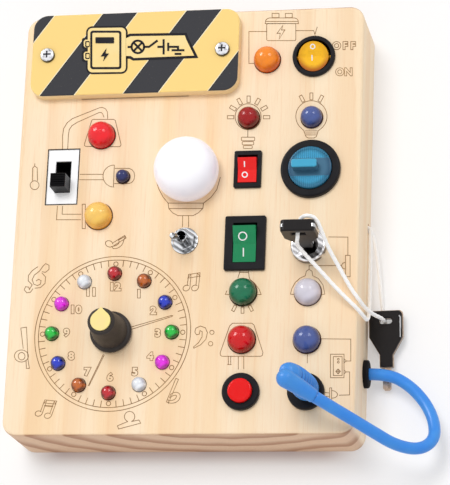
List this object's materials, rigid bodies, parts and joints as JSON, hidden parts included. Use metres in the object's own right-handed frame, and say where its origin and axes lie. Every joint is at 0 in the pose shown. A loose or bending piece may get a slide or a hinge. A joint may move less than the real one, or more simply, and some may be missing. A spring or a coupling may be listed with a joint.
{
  "type": "wooden busy board",
  "caption": "Flat wooden busy board with lamps, rocker, slide, toggle and rotary switches, a clock dial with a selector knob, a key switch with two keys on a string, and a cable with a plug.",
  "frame": {"origin": "centre of the back face, on the surface the board lies on", "axes": "+X to the board's right, +Y to its top edge, +Z out of its face"},
  "size_m": [0.2321, 0.2471, 0.0835],
  "materials": {
    "pine": "sanded, oiled",
    "panel_wood": "plain plywood",
    "hazard_print": "satin, printed yellow with dark slanted stripes",
    "steel": "brushed",
    "chrome": "polished",
    "spring_steel": "nickel plated",
    "black_plastic": "satin black",
    "black_rubber": "matt",
    "white_plastic": "matt",
    "cream_plastic": "satin",
    "red_lens": "translucent",
    "blue_lens": "translucent",
    "orange_lens": "translucent",
    "yellow_lens": "translucent",
    "green_lens": "translucent",
    "white_lens": "translucent",
    "magenta_led": "translucent",
    "globe": "frosted",
    "led": "clear",
    "circuit_green": "solder mask",
    "red_key": "glossy",
    "green_key": "glossy",
    "amber_key": "translucent",
    "cyan_knob": "translucent",
    "red_button": "glossy",
    "blue_cable": "satin",
    "white_string": "braided",
    "cell_shell": "plain sleeve",
    "brass_contacts": "plain",
    "key_metal": "polished"
  },
  "bodies": {
    "board": {"back_panel": "panel_wood", "back_panel_screws": "steel", "battery_cells": "cell_shell", "battery_contacts": "spring_steel", "battery_tray": "black_plastic", "blue_cable": "blue_cable", "blue_lamp_lenses": "blue_lens", "cable_grommet": "black_rubber", "circuit_boards": "circuit_green", "clock_leds_blue": "blue_lens", "clock_leds_green": "green_lens", "clock_leds_magenta": "magenta_led", "clock_leds_orange": "orange_lens", "clock_leds_red": "red_lens", "clock_leds_white": "white_lens", "globe_lamp_lens": "globe", "green_lamp_lens": "green_lens", "green_rocker_body": "black_plastic", "hazard_plate": "hazard_print", "hazard_plate_screws": "chrome", "jack_socket": "black_plastic", "lamp_leds": "led", "lock_body": "chrome", "orange_lamp_lens": "orange_lens", "panel_nuts": "steel", "push_button_body": "black_plastic", "red_lamp_lenses": "red_lens", "red_rocker_body": "black_plastic", "rotary_switch_body": "black_plastic", "round_rocker_body": "black_plastic", "selector_body": "black_plastic", "slide_switch_body": "black_plastic", "slide_switch_plate": "white_plastic", "spare_key_blade": "key_metal", "spare_key_grip": "black_plastic", "string_strands": "white_string", "switch_terminals": "brass_contacts", "toggle_body": "chrome", "toggle_nut_and_washer": "chrome", "white_lamp_lens": "white_lens", "wiring": "black_rubber", "wooden_board": "pine", "yellow_lamp_lens": "yellow_lens"},
    "round_rocker": {"round_rocker_key": "amber_key"},
    "red_rocker": {"red_rocker_key": "red_key"},
    "green_rocker": {"green_rocker_key": "green_key"},
    "rotary_knob": {"rotary_switch_knob": "cyan_knob"},
    "toggle": {"toggle_lever": "chrome"},
    "slider": {"slide_switch_lever": "black_plastic"},
    "selector": {"selector_shaft": "steel", "selector_knob": "black_plastic", "selector_knob_cap": "cream_plastic"},
    "push_button": {"push_button_cap": "red_button"},
    "key_string_ends": {"string_key_ends": "white_string"},
    "key": {"key_blade": "key_metal", "key_grip": "black_plastic", "string_key_loop": "white_string"},
    "lock_core": {"lock_core": "key_metal"},
    "plug": {"plug_body": "blue_cable", "plug_pin": "chrome"}
  },
  "joints": [
    {"name": "round_rocker_tilt", "type": "hinge", "parent": "board", "child": "round_rocker", "pos_m": [0.06792, 0.0907, 0.0405], "axis": [-1, 0, 0], "range_deg": [0, 22]},
    {"name": "red_rocker_tilt", "type": "hinge", "parent": "board", "child": "red_rocker", "pos_m": [0.03363, 0.02665, 0.0405], "axis": [-1, 0, 0], "range_deg": [0, 22]},
    {"name": "green_rocker_tilt", "type": "hinge", "parent": "board", "child": "green_rocker", "pos_m": [0.03372, -0.01506, 0.0405], "axis": [-1, 0, 0], "range_deg": [0, 22]},
    {"name": "rotary_turn", "type": "hinge", "parent": "board", "child": "rotary_knob", "pos_m": [0.06802, 0.02593, 0.042], "axis": [0, 0, 1], "range_deg": [0, 90]},
    {"name": "toggle_tilt", "type": "hinge", "parent": "board", "child": "toggle", "pos_m": [0.00038, -0.01279, 0.0478], "axis": [-0.809, 0.5878, 0], "range_deg": [0, 30]},
    {"name": "slider_slide", "type": "slide", "parent": "board", "child": "slider", "axis": [0, 1, 0], "range_m": [0, 0.01]},
    {"name": "selector_turn", "type": "hinge", "parent": "board", "child": "selector", "pos_m": [-0.03734, -0.06345, 0.042], "axis": [0, 0, 1], "range_deg": [-330, 0]},
    {"name": "button_press", "type": "slide", "parent": "board", "child": "push_button", "axis": [0, 0, -1], "range_m": [0, 0.0025], "stiffness_N_per_m": 300, "springref_m": -0.002},
    {"name": "key_pull", "type": "slide", "parent": "board", "child": "key_string_ends", "axis": [0, 0, 1], "range_m": [0, 0.014]},
    {"name": "key_turn", "type": "hinge", "parent": "key_string_ends", "child": "key", "pos_m": [0.06811, -0.01721, 0.042], "axis": [0, 0, 1], "range_deg": [0, 90]},
    {"name": "lock_core_turn", "type": "hinge", "parent": "board", "child": "lock_core", "pos_m": [0.06811, -0.01721, 0.042], "axis": [0, 0, 1], "range_deg": [0, 90]},
    {"name": "plug_pull", "type": "slide", "parent": "board", "child": "plug", "axis": [0, 0, 1], "range_m": [0, 0.022]}
  ],
  "couplings": [
    {"joint": "lock_core_turn", "follows": "key_turn", "ratio": 1}
  ]
}
